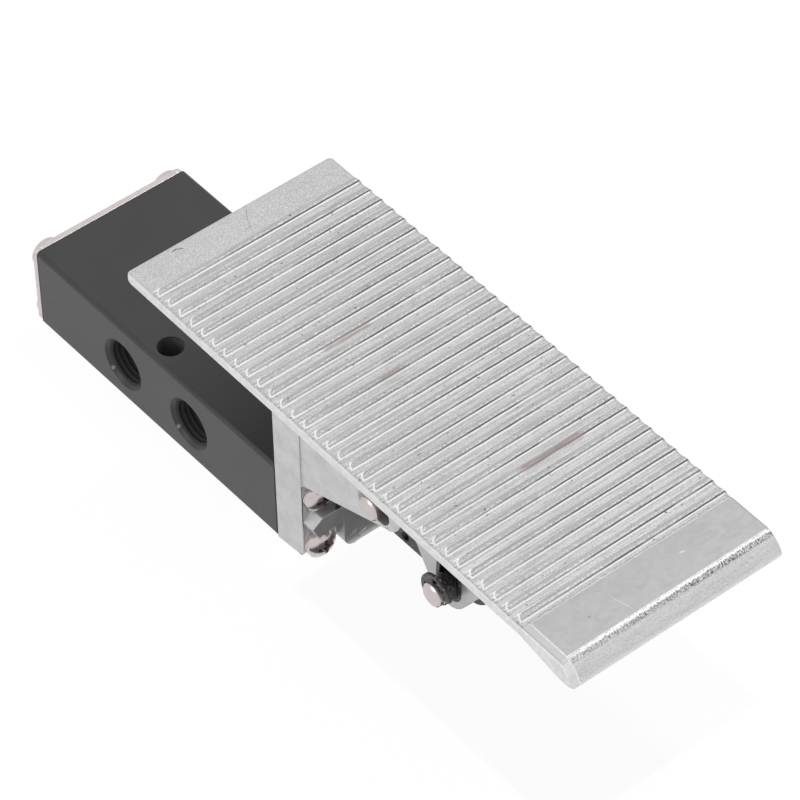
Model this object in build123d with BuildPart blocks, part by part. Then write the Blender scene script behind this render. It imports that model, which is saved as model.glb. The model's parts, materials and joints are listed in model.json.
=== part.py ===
from build123d import *
from math import cos, radians, sin, tan
import os

# Foot pedal air valve. Millimetres, +X towards the toe, +Y away from the side with two ports, +Z up.
# The origin is the centre of the valve body's underside.

# Fits
slip = 0.03
running_gap = 0.05
side_gap = 0.2

# Valve body
body_length = 89.4
body_width = 44.0
body_height = 23.5
body_edge = 1.2
spool_axis_z = 11.75
spool_bore_r = 6.5
gallery_r = 8.0
gallery_width = 5.5
port_pitch = 25.1
port_z = 11.1
port_thread_r = 5.9
port_thread_depth = 11.0
port_mouth_r = 7.0
port_passage_r = 3.5
mount_hole_r = 3.25
mount_hole_y = 16.8

# Screws
m4_r = 2.0
m4_head_r = 3.9
m4_head_height = 2.7
m5_r = 2.5
m5_head_r = 4.4
m5_head_height = 2.8
head_dome_share = 0.65
recess_width = 1.0
recess_taper = 12.0
recess_depth_share = 0.6
recess_span_share = 1.15
screw_clearance = 0.25
tap_runout = 1.5
cover_screw_y = 17.75
cover_screw_dz = 7.75
cover_screw_engaged = 8.0

# Covers at the rear end and gaskets
gasket_thickness = 0.4
rear_cap_thickness = 1.6
rear_cap_corner = 2.0
rod_opening_r = 4.2

# Front bracket
plate_thickness = 9.6
plate_rise = 0.9
plate_toe_r = 2.0
pad_thickness = 3.3
pad_half_width = 12.65
pad_bottom_z = 0.2
pad_top_z = 40.0
pad_corner = 3.0
arm_reach = 21.6
arm_tip_rise = 0.55
arm_top_reach = 18.75
arm_top_rise = 2.7
arm_bottom_reach = 20.2
arm_bottom_drop = 2.65
washer_r = 3.95
washer_thickness = 0.7
ear_thickness = 5.0
ear_step = 0.4
ear_tip_r = 6.6
ear_tip_lead = 3.0
ear_tip_rise = 2.75
ear_slope = 19.55
slot_length = 10.8
slot_lead = 0.3
slot_play = 0.15
ejector_mark_r = 1.9
ejector_mark_depth = 0.2
ejector_mark_y = 7.6
ejector_mark_z = 3.9

# Fulcrum pin and stop pin
fulcrum_reach = 25.6
fulcrum_z = 38.7
fulcrum_pin_r = 3.0
fulcrum_pin_half = 23.2
stop_reach = 25.8
stop_z = 34.9
stop_pin_r = 3.0
stop_pin_half = 26.6
pin_chamfer = 0.4

# Clips and spacers on the stop pin
clip_thickness = 0.7
clip_r = 4.85
clip_ring = 1.0
clip_prong = 3.4
clip_side_prong = 2.0
clip_side_angle = 66.0
clip_cut = 2.9
clip_turn = -45.0
groove_r = 2.5
spacer_r = 3.4
spacer_length = 2.8

# Pivot channel
sheet = 2.0
channel_front_r = 7.9
channel_top_z = 46.0
channel_web_bottom_z = 17.0
channel_bend_r = 2.2
channel_hole_r = 1.4
channel_hole_lead = 4.7
channel_hole_z = 29.1
channel_screw_y = 8.0
channel_screw_z = 35.0
channel_screw_engaged = 9.0

# Pedal plate
pedal_heel_reach = 77.6
pedal_rear_z = 57.6
pedal_tilt = 0.86
pedal_length = 153.7
pedal_width = 59.0
pedal_thickness = 2.6
pedal_corner = 1.0
toe_zone_length = 12.1
toe_zone_back = 4.2
toe_zone_rise = 0.2
toe_zone_border = 2.2
lip_length = 17.3
lip_depth = 5.65
lip_foot_length = 4.4
lip_tip_length = 2.2
nose_back = 4.0
nose_drop = 4.9
nose_r = 8.0

# Ribs on the pedal
rib_pitch = 4.02
first_rib = 11.35
rib_width = 2.2
rib_height = 0.46
rib_heel_height = 0.2
rib_flank = 0.15
rib_border = 0.9
rib_end_length = 1.7

# Lugs under the pedal
lug_thickness = 5.0
bumper_thickness = 0.95
lug_r = 6.5
lug_back = 0.7
lug_rear_spread = 20.0
lug_front_spread = 21.6
inner_lug_y = 8.9
inner_lug_r = 6.5
inner_lug_spread = 10.0
bush_r = 4.0
bush_overhang = 0.2

# Pedal travel
pedal_travel = 8.0
stop_gap = 0.15

# Drive lever
lever_half_width = 4.0
lever_boss_r = 6.5
lever_nose_r = 4.0
lever_nose_offset = 4.7
lever_seat_drop = 10.8
lever_flange_thickness = 3.8
lever_flange_half_length = 15.2
lever_flange_half_width = 6.0
lever_boss_margin = 0.5
lever_screw_spacing = 10.9
lever_screw_engaged = 4.0
nose_gap = 0.03

# Spool, rod and return spring
seal_width = 2.0
seal_groove_play = 0.05
seal_groove_r = 4.9
seal_inset = 1.3
seal_shift = 1.85
spool_land_r = 6.2
spool_land_width = 4.4
spool_neck_r = 4.0
spool_end_inset = 3.1
spool_stub = 0.2
guide_gap = 0.1
rod_r = 3.0
rod_tail_r = 2.0
rod_tail_length = 8.0
button_r = 5.0
button_thickness = 4.0
button_edge = 0.8
rod_seal_r = 4.6
rod_seal_width = 2.4
rod_seal_setback = 2.0
seat_r = 5.8
seat_thickness = 1.5
seat_boss_r = 3.6
seat_boss_length = 2.0
spring_r = 4.7
spring_wire_r = 0.5
spring_turns = 4.5

# Places worked out from the sizes above
body_front = body_length / 2
body_side = body_width / 2
plate_back = body_front + gasket_thickness
plate_front = plate_back + plate_thickness
pad_front = plate_front + pad_thickness
ear_outer = body_side - ear_step
ear_inner = ear_outer - ear_thickness
channel_outer = ear_inner - side_gap
channel_inner = channel_outer - sheet
fulcrum_x = plate_front + fulcrum_reach
stop_x = fulcrum_x + stop_reach
pedal_rear_x = fulcrum_x - pedal_heel_reach
ear_tip_x = fulcrum_x + ear_tip_lead
ear_tip_z = fulcrum_z + ear_tip_rise
ear_top_z = ear_tip_z + ear_tip_r
ear_tangent_x = ear_tip_x + ear_tip_r * sin(radians(ear_slope))
ear_tangent_z = ear_tip_z - ear_tip_r * cos(radians(ear_slope))
ear_root_z = ear_tangent_z - (ear_tangent_x - plate_back) * tan(radians(ear_slope))
bracket_half_slot = fulcrum_pin_r + slot_play
port_xs = [-port_pitch, 0, port_pitch]
outlet_xs = [-port_pitch / 2, port_pitch / 2]

# The lever's nose pushes the spool by this much over the pedal's travel.
stroke = radians(pedal_travel)
spool_stroke = (fulcrum_z - spool_axis_z) * stroke

# The window in each outer lug is a slot, with the stop pin at one end at rest and at the other when pressed.
pin_drop = stop_z - fulcrum_z
window_top_x = fulcrum_x + stop_reach * cos(stroke) - pin_drop * sin(stroke)
window_top_z = fulcrum_z + stop_reach * sin(stroke) + pin_drop * cos(stroke)
bumper_bore_r = stop_pin_r + stop_gap
window_r = bumper_bore_r + bumper_thickness
toe_zone_end = pedal_length - toe_zone_back
toe_zone_start = toe_zone_end - toe_zone_length
rib_count = int((toe_zone_start - first_rib) / rib_pitch) + 1


def pedal_underside(x):
    """Height of the pedal plate's underside above a place along X."""
    return pedal_rear_z - (x - pedal_rear_x) * tan(radians(pedal_tilt)) - pedal_thickness


# Planes and axes
rear_face = Plane(origin=(-body_front, 0, spool_axis_z), x_dir=(0, -1, 0), z_dir=(-1, 0, 0))
front_face = Plane(origin=(body_front, 0, spool_axis_z), x_dir=(0, 1, 0), z_dir=(1, 0, 0))
outlet_side = Plane(origin=(0, -body_side, port_z), x_dir=(1, 0, 0), z_dir=(0, -1, 0))
inlet_side = Plane(origin=(0, body_side, port_z), x_dir=(1, 0, 0), z_dir=(0, 1, 0))
spool_plane = Plane(origin=(0, 0, spool_axis_z), x_dir=(1, 0, 0), z_dir=(0, -1, 0))
spool_axis = Axis((0, 0, spool_axis_z), (1, 0, 0))
tilt = radians(pedal_tilt)
pedal_top = Plane(
    origin=(pedal_rear_x, 0, pedal_rear_z), x_dir=(cos(tilt), 0, -sin(tilt)), z_dir=(sin(tilt), 0, cos(tilt))
)
pedal_side = Plane(
    origin=(pedal_rear_x, 0, pedal_rear_z), x_dir=(cos(tilt), 0, -sin(tilt)), z_dir=(0, -1, 0)
)


def save(part, name):
    """Label one sub-part and write it to its own STEP file."""
    part.label = name
    export_step(part, f"parts/{name}.step")


def pan_screw(shank_r, shank_length, head_r, head_height):
    """A pan-head screw with its head's seat at the origin and its shank down -Z."""
    dome = head_height * head_dome_share
    dome_r = (head_r**2 + dome**2) / (2 * dome)
    with BuildPart() as screw:
        with BuildSketch(Plane.XZ):
            with BuildLine():
                Polyline((0, head_height), (0, -shank_length), (shank_r, -shank_length), (shank_r, 0),
                         (head_r, 0), (head_r, head_height - dome))
                RadiusArc((head_r, head_height - dome), (0, head_height), -dome_r)
            make_face()
        revolve(axis=Axis.Z)
        with BuildSketch(Plane.XY.offset(head_height)):
            span = recess_span_share * head_r
            Rectangle(span, recess_width)
            Rectangle(recess_width, span)
        extrude(amount=-recess_depth_share * head_height, taper=recess_taper, mode=Mode.SUBTRACT)
    return screw.part


def stop_window(r):
    """A slot of half-width r that the stop pin runs along in the pedal's outer lugs."""
    with BuildSketch(mode=Mode.PRIVATE) as window:
        with BuildLine():
            CenterArc((stop_x, stop_z), r, 0, 360)
            CenterArc((window_top_x, window_top_z), r, 0, 360)
        make_hull()
    return window.sketch


def cover_outline(corner):
    """The valve body's end outline, with rounded corners and the four cover screw holes."""
    with BuildSketch(mode=Mode.PRIVATE) as outline:
        with Locations((0, body_height / 2 - spool_axis_z)):
            RectangleRounded(body_width, body_height, corner)
        with GridLocations(2 * cover_screw_y, 2 * cover_screw_dz, 2, 2):
            Circle(m4_r + screw_clearance, mode=Mode.SUBTRACT)
    return outline.sketch


os.makedirs("parts", exist_ok=True)

# Valve body: block, spool bore with five galleries, five threaded ports, three mounting holes
with BuildPart() as valve_body:
    with BuildSketch(Plane.YZ.offset(-body_front)):
        with Locations((0, body_height / 2)):
            RectangleRounded(body_width, body_height, body_edge)
    extrude(amount=body_length)
    with BuildSketch(Plane.YZ.offset(-body_front)):
        with Locations((0, spool_axis_z)):
            Circle(spool_bore_r)
    extrude(amount=body_length, mode=Mode.SUBTRACT)
    for x in port_xs + outlet_xs:
        with BuildSketch(Plane.YZ.offset(x - gallery_width / 2)):
            with Locations((0, spool_axis_z)):
                Circle(gallery_r)
        extrude(amount=gallery_width, mode=Mode.SUBTRACT)
    passage_depth = body_side - (gallery_r + spool_bore_r) / 2
    for side, xs in ((outlet_side, outlet_xs), (inlet_side, port_xs)):
        with Locations(side):
            with Locations(*[(x, 0) for x in xs]):
                CounterSinkHole(port_thread_r, port_mouth_r, depth=port_thread_depth)
                Hole(port_passage_r, depth=passage_depth)
    with Locations((0, -mount_hole_y, body_height)):
        Hole(mount_hole_r, depth=body_height)
    with Locations(*[(x, mount_hole_y, body_height) for x in outlet_xs]):
        Hole(mount_hole_r, depth=body_height)
    for face in (rear_face, front_face):
        with Locations(face):
            with GridLocations(2 * cover_screw_y, 2 * cover_screw_dz, 2, 2):
                Hole(m4_r + slip, depth=cover_screw_engaged + tap_runout)
save(valve_body.part, "valve_body")

# Rear gasket and cap
with BuildPart() as rear_gasket:
    with BuildSketch(rear_face):
        add(cover_outline(body_edge))
        Circle(spool_bore_r, mode=Mode.SUBTRACT)
    extrude(amount=gasket_thickness)
save(rear_gasket.part, "rear_gasket")

with BuildPart() as rear_cap:
    with BuildSketch(rear_face.offset(gasket_thickness)):
        add(cover_outline(rear_cap_corner))
    extrude(amount=rear_cap_thickness)
save(rear_cap.part, "rear_cap")

rear_cap_outside = gasket_thickness + rear_cap_thickness
rear_cap_screw = pan_screw(m4_r, rear_cap_outside + cover_screw_engaged, m4_head_r, m4_head_height)
with BuildPart() as rear_cap_screws:
    with Locations(rear_face.offset(rear_cap_outside)):
        with GridLocations(2 * cover_screw_y, 2 * cover_screw_dz, 2, 2):
            add(rear_cap_screw)
save(rear_cap_screws.part, "rear_cap_screws")

# Front gasket
with BuildPart() as front_gasket:
    with BuildSketch(front_face):
        add(cover_outline(body_edge))
        Circle(rod_opening_r, mode=Mode.SUBTRACT)
    extrude(amount=gasket_thickness)
save(front_gasket.part, "front_gasket")

# Front bracket: plate, raised pad with two arms, two slotted ears
with BuildPart() as front_bracket:
    with BuildSketch(Plane.XZ):
        with BuildLine():
            Polyline((plate_back, 0), (plate_front, plate_rise), (plate_front, ear_top_z),
                     (plate_back, ear_top_z), close=True)
        make_face()
    extrude(amount=body_side, both=True)
    front_edges = front_bracket.edges().filter_by(Axis.Y).group_by(Axis.X)[-1]
    fillet(front_edges.sort_by(Axis.Z)[0], plate_toe_r)
    for y_start in (ear_outer, -ear_inner):
        with BuildSketch(Plane.XZ.offset(y_start)) as ear:
            with BuildLine():
                top = Line((plate_back, ear_top_z), (ear_tip_x, ear_top_z))
                ear_tangent = (ear_tangent_x, ear_tangent_z)
                ThreePointArc(top @ 1, (ear_tip_x + ear_tip_r, ear_tip_z), ear_tangent)
                Polyline(ear_tangent, (plate_back, ear_root_z), top @ 0)
            make_face()
            with Locations((fulcrum_x + slot_lead, fulcrum_z)):
                SlotOverall(slot_length, 2 * bracket_half_slot, mode=Mode.SUBTRACT)
        extrude(amount=-ear_thickness)
    with BuildSketch(Plane.YZ.offset(plate_front)) as pad:
        with Locations((0, (pad_bottom_z + pad_top_z) / 2)):
            Rectangle(2 * pad_half_width, pad_top_z - pad_bottom_z)
        fillet(pad.vertices().group_by(Axis.Y)[0], pad_corner)
    extrude(amount=pad_thickness)
    with BuildSketch(Plane.YZ.offset(plate_front)):
        with BuildLine():
            arm_top = (-arm_top_reach, spool_axis_z + arm_top_rise)
            arm_tip = (-arm_reach, spool_axis_z + arm_tip_rise)
            arm_bottom = (-arm_bottom_reach, spool_axis_z - arm_bottom_drop)
            Polyline((0, arm_top[1]), arm_top, arm_tip, arm_bottom, (0, arm_bottom[1]))
            mirror(about=Plane.YZ)
        make_face()
    extrude(amount=pad_thickness)
    with Locations(front_face.offset(gasket_thickness)):
        Hole(rod_opening_r, depth=plate_thickness + pad_thickness)
        with GridLocations(2 * cover_screw_y, 2 * cover_screw_dz, 2, 2):
            Hole(m4_r + screw_clearance, depth=plate_thickness)
    with Locations(Plane.YZ.offset(pad_front)):
        with Locations((-channel_screw_y, channel_screw_z), (channel_screw_y, channel_screw_z)):
            Hole(m5_r + slip, depth=channel_screw_engaged + tap_runout)
        with Locations((-ejector_mark_y, ejector_mark_z), (ejector_mark_y, ejector_mark_z)):
            Hole(ejector_mark_r, depth=ejector_mark_depth)
save(front_bracket.part, "front_bracket")

with BuildPart() as bracket_washers:
    with BuildSketch(front_face.offset(gasket_thickness + plate_thickness)):
        with GridLocations(2 * cover_screw_y, 2 * cover_screw_dz, 2, 2):
            Circle(washer_r)
            Circle(m4_r + screw_clearance, mode=Mode.SUBTRACT)
    extrude(amount=washer_thickness)
save(bracket_washers.part, "bracket_washers")

bracket_screw_grip = gasket_thickness + plate_thickness + washer_thickness
bracket_screw = pan_screw(m4_r, bracket_screw_grip + cover_screw_engaged, m4_head_r, m4_head_height)
with BuildPart() as bracket_screws:
    with Locations(front_face.offset(bracket_screw_grip)):
        with GridLocations(2 * cover_screw_y, 2 * cover_screw_dz, 2, 2):
            add(bracket_screw)
save(bracket_screws.part, "bracket_screws")

# Pivot channel: two side plates that hold both pins, and a web bolted to the bracket's pad
with BuildPart() as pivot_channel:
    web_front = pad_front + sheet
    with BuildSketch(Plane.YZ.offset(pad_front)):
        with Locations((0, (channel_web_bottom_z + channel_top_z) / 2)):
            Rectangle(2 * channel_outer, channel_top_z - channel_web_bottom_z)
    extrude(amount=sheet)
    for y_start in (channel_outer, -channel_inner):
        with BuildSketch(Plane.XZ.offset(y_start)):
            with BuildLine():
                lower = Line((pad_front, stop_z - channel_front_r), (stop_x, stop_z - channel_front_r))
                nose = ThreePointArc(lower @ 1, (stop_x + channel_front_r, stop_z),
                                     (stop_x, stop_z + channel_front_r))
                Polyline(nose @ 1, (ear_tip_x, channel_top_z), (pad_front, channel_top_z), lower @ 0)
            make_face()
            with Locations((fulcrum_x, fulcrum_z)):
                Circle(fulcrum_pin_r + slip, mode=Mode.SUBTRACT)
            with Locations((stop_x, stop_z)):
                Circle(stop_pin_r + slip, mode=Mode.SUBTRACT)
            with Locations((fulcrum_x + channel_hole_lead, channel_hole_z)):
                Circle(channel_hole_r, mode=Mode.SUBTRACT)
        extrude(amount=-sheet)
    bend_edges = pivot_channel.edges().filter_by(Axis.Z).group_by(Axis.X)[0]
    fillet(bend_edges, channel_bend_r)
    with Locations(Plane.YZ.offset(web_front)):
        with Locations((-channel_screw_y, channel_screw_z), (channel_screw_y, channel_screw_z)):
            Hole(m5_r + screw_clearance, depth=sheet)
save(pivot_channel.part, "pivot_channel")

channel_screw = pan_screw(m5_r, sheet + channel_screw_engaged, m5_head_r, m5_head_height)
with BuildPart() as channel_screws:
    with Locations(Plane.YZ.offset(web_front)):
        with Locations((-channel_screw_y, channel_screw_z), (channel_screw_y, channel_screw_z)):
            add(channel_screw)
save(channel_screws.part, "channel_screws")

# Fulcrum pin, pressed in the channel, its ends on the floors of the ears' slots
with BuildPart() as fulcrum_pin:
    with BuildSketch(Plane.XZ):
        with Locations((fulcrum_x, fulcrum_z)):
            Circle(fulcrum_pin_r)
    extrude(amount=fulcrum_pin_half, both=True)
    chamfer(fulcrum_pin.edges().filter_by(GeomType.CIRCLE), pin_chamfer)
save(fulcrum_pin.part, "fulcrum_pin")

# Stop pin with a clip groove near each end
lug_outer = ear_outer
lug_inner = lug_outer - lug_thickness
clip_inside = lug_outer + stop_gap + spacer_length
with BuildPart() as stop_pin:
    with BuildSketch(Plane.XZ):
        with Locations((stop_x, stop_z)):
            Circle(stop_pin_r)
    extrude(amount=stop_pin_half, both=True)
    chamfer(stop_pin.edges().filter_by(GeomType.CIRCLE), pin_chamfer)
    for y_start in (clip_inside + clip_thickness, -clip_inside):
        with BuildSketch(Plane.XZ.offset(y_start)):
            with Locations((stop_x, stop_z)):
                Circle(2 * stop_pin_r)
                Circle(groove_r, mode=Mode.SUBTRACT)
        extrude(amount=-clip_thickness, mode=Mode.SUBTRACT)
save(stop_pin.part, "stop_pin")

# E-clips: an open ring with three prongs that grip the groove
with BuildPart() as stop_pin_clips:
    for y_start in (clip_inside + clip_thickness, -clip_inside):
        with BuildSketch(Plane.XZ.offset(y_start)):
            with Locations(Location((stop_x, stop_z), clip_turn)):
                Circle(clip_r)
                Circle(clip_r - clip_ring, mode=Mode.SUBTRACT)
                for angle, width in ((180, clip_prong), (clip_side_angle, clip_side_prong),
                                     (-clip_side_angle, clip_side_prong)):
                    with PolarLocations((clip_r + groove_r) / 2, 1, angle):
                        Rectangle(clip_r - groove_r - clip_ring / 2, width)
                with Locations((clip_cut + clip_r, 0)):
                    Rectangle(2 * clip_r, 2 * clip_r, mode=Mode.SUBTRACT)
                Circle(groove_r + slip, mode=Mode.SUBTRACT)
        extrude(amount=-clip_thickness)
save(stop_pin_clips.part, "stop_pin_clips")

with BuildPart() as stop_pin_spacers:
    for y_start in (clip_inside, -clip_inside + spacer_length):
        with BuildSketch(Plane.XZ.offset(y_start)):
            with Locations((stop_x, stop_z)):
                Circle(spacer_r)
                Circle(stop_pin_r + slip, mode=Mode.SUBTRACT)
        extrude(amount=-spacer_length)
save(stop_pin_spacers.part, "stop_pin_spacers")

# One rib of the pedal: a low wedge with a steep toe face, rounded off at its near end
with BuildPart() as rib:
    with BuildSketch(Plane.XZ):
        with BuildLine():
            Polyline((0, 0), (-rib_flank, rib_height), (rib_flank - rib_width, rib_heel_height),
                     (-rib_width, 0), close=True)
        make_face()
    extrude(amount=pedal_width / 2, both=True)
    with BuildSketch():
        with BuildLine():
            near_end = rib_border + rib_end_length - pedal_width / 2
            far_end = pedal_width / 2
            end_curve = EllipticalCenterArc((0, near_end), rib_width, rib_end_length, 180, arc_size=90)
            Polyline(end_curve @ 1, (0, far_end), (-rib_width, far_end), end_curve @ 0)
        make_face()
    extrude(amount=rib_height, mode=Mode.INTERSECT)

# Pedal: plate with drooping lip, ribs, raised toe zone, outer lugs with windows, inner lugs, lever boss
lever_seat_z = fulcrum_z + lever_seat_drop
with BuildPart() as pedal:
    with BuildSketch(pedal_side):
        with BuildLine():
            nose_top = (pedal_length - nose_back, 0)
            nose_tip = (pedal_length, -nose_drop)
            lip_underside = (pedal_length - lip_tip_length, -lip_depth)
            Polyline(nose_top, (0, 0), (0, -pedal_thickness), (pedal_length - lip_length, -pedal_thickness),
                     (pedal_length - lip_foot_length, -lip_depth), lip_underside)
            TangentArc(lip_underside, nose_tip, tangent=(1, 0))
            RadiusArc(nose_tip, nose_top, -nose_r)
        make_face()
    extrude(amount=pedal_width / 2, both=True)
    with BuildSketch(pedal_top.offset(-lip_depth)):
        with Locations((pedal_length / 2, 0)):
            RectangleRounded(pedal_length, pedal_width, pedal_corner)
    extrude(amount=lip_depth, mode=Mode.INTERSECT)
    with BuildSketch(pedal_top):
        with Locations(((toe_zone_start + toe_zone_end) / 2, toe_zone_border / 2)):
            Rectangle(toe_zone_end - toe_zone_start, pedal_width - toe_zone_border)
    extrude(amount=toe_zone_rise)
    with Locations(pedal_top):
        with Locations(*[(first_rib + k * rib_pitch, 0, 0) for k in range(rib_count)]):
            add(rib.part)
    lug_top_z = pedal_underside(stop_x) + pedal_thickness / 2
    for y_start in (lug_outer, -lug_inner):
        with BuildSketch(Plane.XZ.offset(y_start)):
            with BuildLine():
                CenterArc((stop_x - lug_back, stop_z), lug_r, 0, 360)
                Line((stop_x - lug_rear_spread, lug_top_z), (stop_x + lug_front_spread, lug_top_z))
            make_hull()
            add(stop_window(window_r), mode=Mode.SUBTRACT)
        extrude(amount=-lug_thickness)
    inner_lug_outer = inner_lug_y + lug_thickness
    for y_start in (inner_lug_outer, -inner_lug_y):
        with BuildSketch(Plane.XZ.offset(y_start)):
            with BuildLine():
                CenterArc((fulcrum_x, fulcrum_z), inner_lug_r, 0, 360)
                Line((fulcrum_x - inner_lug_spread, lug_top_z), (fulcrum_x + inner_lug_spread, lug_top_z))
            make_hull()
            with Locations((fulcrum_x, fulcrum_z)):
                Circle(bush_r + slip, mode=Mode.SUBTRACT)
        extrude(amount=-lug_thickness)
    with BuildSketch(Plane.XY.offset(lever_seat_z)):
        with Locations((fulcrum_x, 0)):
            Rectangle(2 * (lever_flange_half_length + lever_boss_margin),
                      2 * (lever_flange_half_width + lever_boss_margin))
    extrude(amount=lug_top_z - lever_seat_z)
    with Locations(*[(fulcrum_x + s * lever_screw_spacing, 0, lever_seat_z) for s in (-1, 1)]):
        Hole(m4_r + slip, depth=lever_screw_engaged + slip)
save(pedal.part, "pedal")

with BuildPart() as pedal_bushes:
    bush_length = lug_thickness + 2 * bush_overhang
    for y_start in (inner_lug_outer + bush_overhang, bush_overhang - inner_lug_y):
        with BuildSketch(Plane.XZ.offset(y_start)):
            with Locations((fulcrum_x, fulcrum_z)):
                Circle(bush_r)
                Circle(fulcrum_pin_r + running_gap, mode=Mode.SUBTRACT)
        extrude(amount=-bush_length)
save(pedal_bushes.part, "pedal_bushes")

with BuildPart() as stop_bumpers:
    for y_start in (lug_outer, -lug_inner):
        with BuildSketch(Plane.XZ.offset(y_start)):
            add(stop_window(window_r - slip))
            add(stop_window(bumper_bore_r), mode=Mode.SUBTRACT)
        extrude(amount=-lug_thickness)
save(stop_bumpers.part, "stop_bumpers")

# Drive lever: boss on the fulcrum pin, nose on the spool axis, flange screwed under the pedal
nose_x = fulcrum_x - lever_nose_offset
flange_bottom_z = lever_seat_z - lever_flange_thickness
with BuildPart() as drive_lever:
    with BuildSketch(Plane.XZ):
        with BuildLine():
            CenterArc((fulcrum_x, fulcrum_z), lever_boss_r, 0, 360)
            CenterArc((nose_x, spool_axis_z), lever_nose_r, 0, 360)
        make_hull()
        with Locations((fulcrum_x, (fulcrum_z + lever_seat_z) / 2)):
            Rectangle(2 * lever_boss_r, lever_seat_z - fulcrum_z)
    extrude(amount=lever_half_width, both=True)
    with BuildSketch(Plane.XY.offset(flange_bottom_z)):
        with Locations((fulcrum_x, 0)):
            RectangleRounded(2 * lever_flange_half_length, 2 * lever_flange_half_width, lever_half_width)
    extrude(amount=lever_flange_thickness)
    with BuildSketch(Plane.XZ.offset(lever_half_width)):
        with Locations((fulcrum_x, fulcrum_z)):
            Circle(fulcrum_pin_r + running_gap)
    extrude(amount=-2 * lever_half_width, mode=Mode.SUBTRACT)
    with Locations(*[(fulcrum_x + s * lever_screw_spacing, 0, lever_seat_z) for s in (-1, 1)]):
        Hole(m4_r + screw_clearance, depth=lever_flange_thickness)
save(drive_lever.part, "drive_lever")

lever_screw = pan_screw(m4_r, lever_flange_thickness + lever_screw_engaged, m4_head_r, m4_head_height)
with BuildPart() as lever_screws:
    screw_seat = Plane(origin=(fulcrum_x, 0, flange_bottom_z), x_dir=(1, 0, 0), z_dir=(0, 0, -1))
    with Locations(screw_seat):
        with Locations((-lever_screw_spacing, 0), (lever_screw_spacing, 0)):
            add(lever_screw)
save(lever_screws.part, "lever_screws")

# Seal places: the four inner seals open and close the lands between galleries over the stroke,
# and the two outer seals stay in the bore beyond the end galleries.
land_half = (port_pitch / 2 - gallery_width) / 2
land_middles = [port_pitch * k / 4 for k in (-3, -1, 1, 3)]
closed_at_rest = [land_middles[0] - land_half + seal_inset, land_middles[2] - land_half + seal_inset]
open_at_rest = [land_middles[1] + land_half + seal_shift, land_middles[3] + land_half + seal_shift]
end_gallery = port_pitch + gallery_width / 2
outer_seals = [-end_gallery - spool_end_inset, end_gallery + spool_stroke + seal_inset]
seal_xs = closed_at_rest + open_at_rest + outer_seals
spool_front = max(seal_xs) + spool_land_width / 2 + spool_stub
spool_rear = min(seal_xs) - spool_land_width / 2 - spool_stub

with BuildPart() as spool:
    with BuildSketch(spool_plane):
        with Locations(((spool_front + spool_rear) / 2, spool_neck_r / 2)):
            Rectangle(spool_front - spool_rear, spool_neck_r)
        with Locations(*[(x, spool_land_r / 2) for x in seal_xs]):
            Rectangle(spool_land_width, spool_land_r)
        with Locations(*[(x, seal_groove_r + spool_land_r / 2) for x in seal_xs]):
            Rectangle(seal_width + 2 * seal_groove_play, spool_land_r, mode=Mode.SUBTRACT)
        with Locations((spool_front - rod_tail_length / 2, (rod_tail_r + slip) / 2)):
            Rectangle(rod_tail_length, rod_tail_r + slip, mode=Mode.SUBTRACT)
    revolve(axis=spool_axis)
save(spool.part, "spool")

with BuildPart() as spool_seals:
    with BuildSketch(spool_plane) as seal_section:
        seal_inner = seal_groove_r + slip
        seal_outer = spool_bore_r - running_gap
        with Locations(*[(x, (seal_inner + seal_outer) / 2) for x in seal_xs]):
            Rectangle(seal_width, seal_outer - seal_inner)
        outer_corners = seal_section.vertices().group_by(Axis.Y)[-1]
        fillet(outer_corners, seal_width / 4)
    revolve(axis=spool_axis)
save(spool_seals.part, "spool_seals")

# Spool rod with its push button, and the guide and seal in the front end of the bore
button_face = nose_x - lever_nose_r - nose_gap
with BuildPart() as spool_rod:
    with BuildSketch(spool_plane) as rod_section:
        with Locations(((spool_front + button_face) / 2, rod_r / 2)):
            Rectangle(button_face - spool_front, rod_r)
        with Locations((spool_front - rod_tail_length / 2 + slip, rod_tail_r / 2)):
            Rectangle(rod_tail_length, rod_tail_r)
        with Locations((button_face - button_thickness / 2, button_r / 2)):
            Rectangle(button_thickness, button_r)
        fillet(rod_section.vertices().group_by(Axis.Y)[-1], button_edge)
    revolve(axis=spool_axis)
save(spool_rod.part, "spool_rod")

guide_rear = spool_front + guide_gap
seal_seat_x = body_front - rod_seal_setback - rod_seal_width / 2
with BuildPart() as rod_guide:
    with BuildSketch(spool_plane):
        guide_bore = rod_r + running_gap
        guide_outer = spool_bore_r - slip
        with Locations(((guide_rear + body_front) / 2, (guide_bore + guide_outer) / 2)):
            Rectangle(body_front - guide_rear, guide_outer - guide_bore)
        with Locations((seal_seat_x, rod_seal_r / 2)):
            Rectangle(rod_seal_width, rod_seal_r, mode=Mode.SUBTRACT)
    revolve(axis=spool_axis)
save(rod_guide.part, "rod_guide")

with BuildPart() as rod_seal:
    with BuildSketch(spool_plane):
        with Locations((seal_seat_x, (guide_bore + rod_seal_r - slip) / 2)):
            Rectangle(rod_seal_width - 2 * slip, rod_seal_r - slip - guide_bore)
    revolve(axis=spool_axis)
save(rod_seal.part, "rod_seal")

# Spring seat and return spring between the spool and the rear cap
seat_rear = spool_rear - seat_thickness
with BuildPart() as spring_seat:
    with BuildSketch(spool_plane):
        with Locations((spool_rear - seat_thickness / 2, seat_r / 2)):
            Rectangle(seat_thickness, seat_r)
        with Locations((seat_rear - seat_boss_length / 2, seat_boss_r / 2)):
            Rectangle(seat_boss_length, seat_boss_r)
    revolve(axis=spool_axis)
save(spring_seat.part, "spring_seat")

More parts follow.
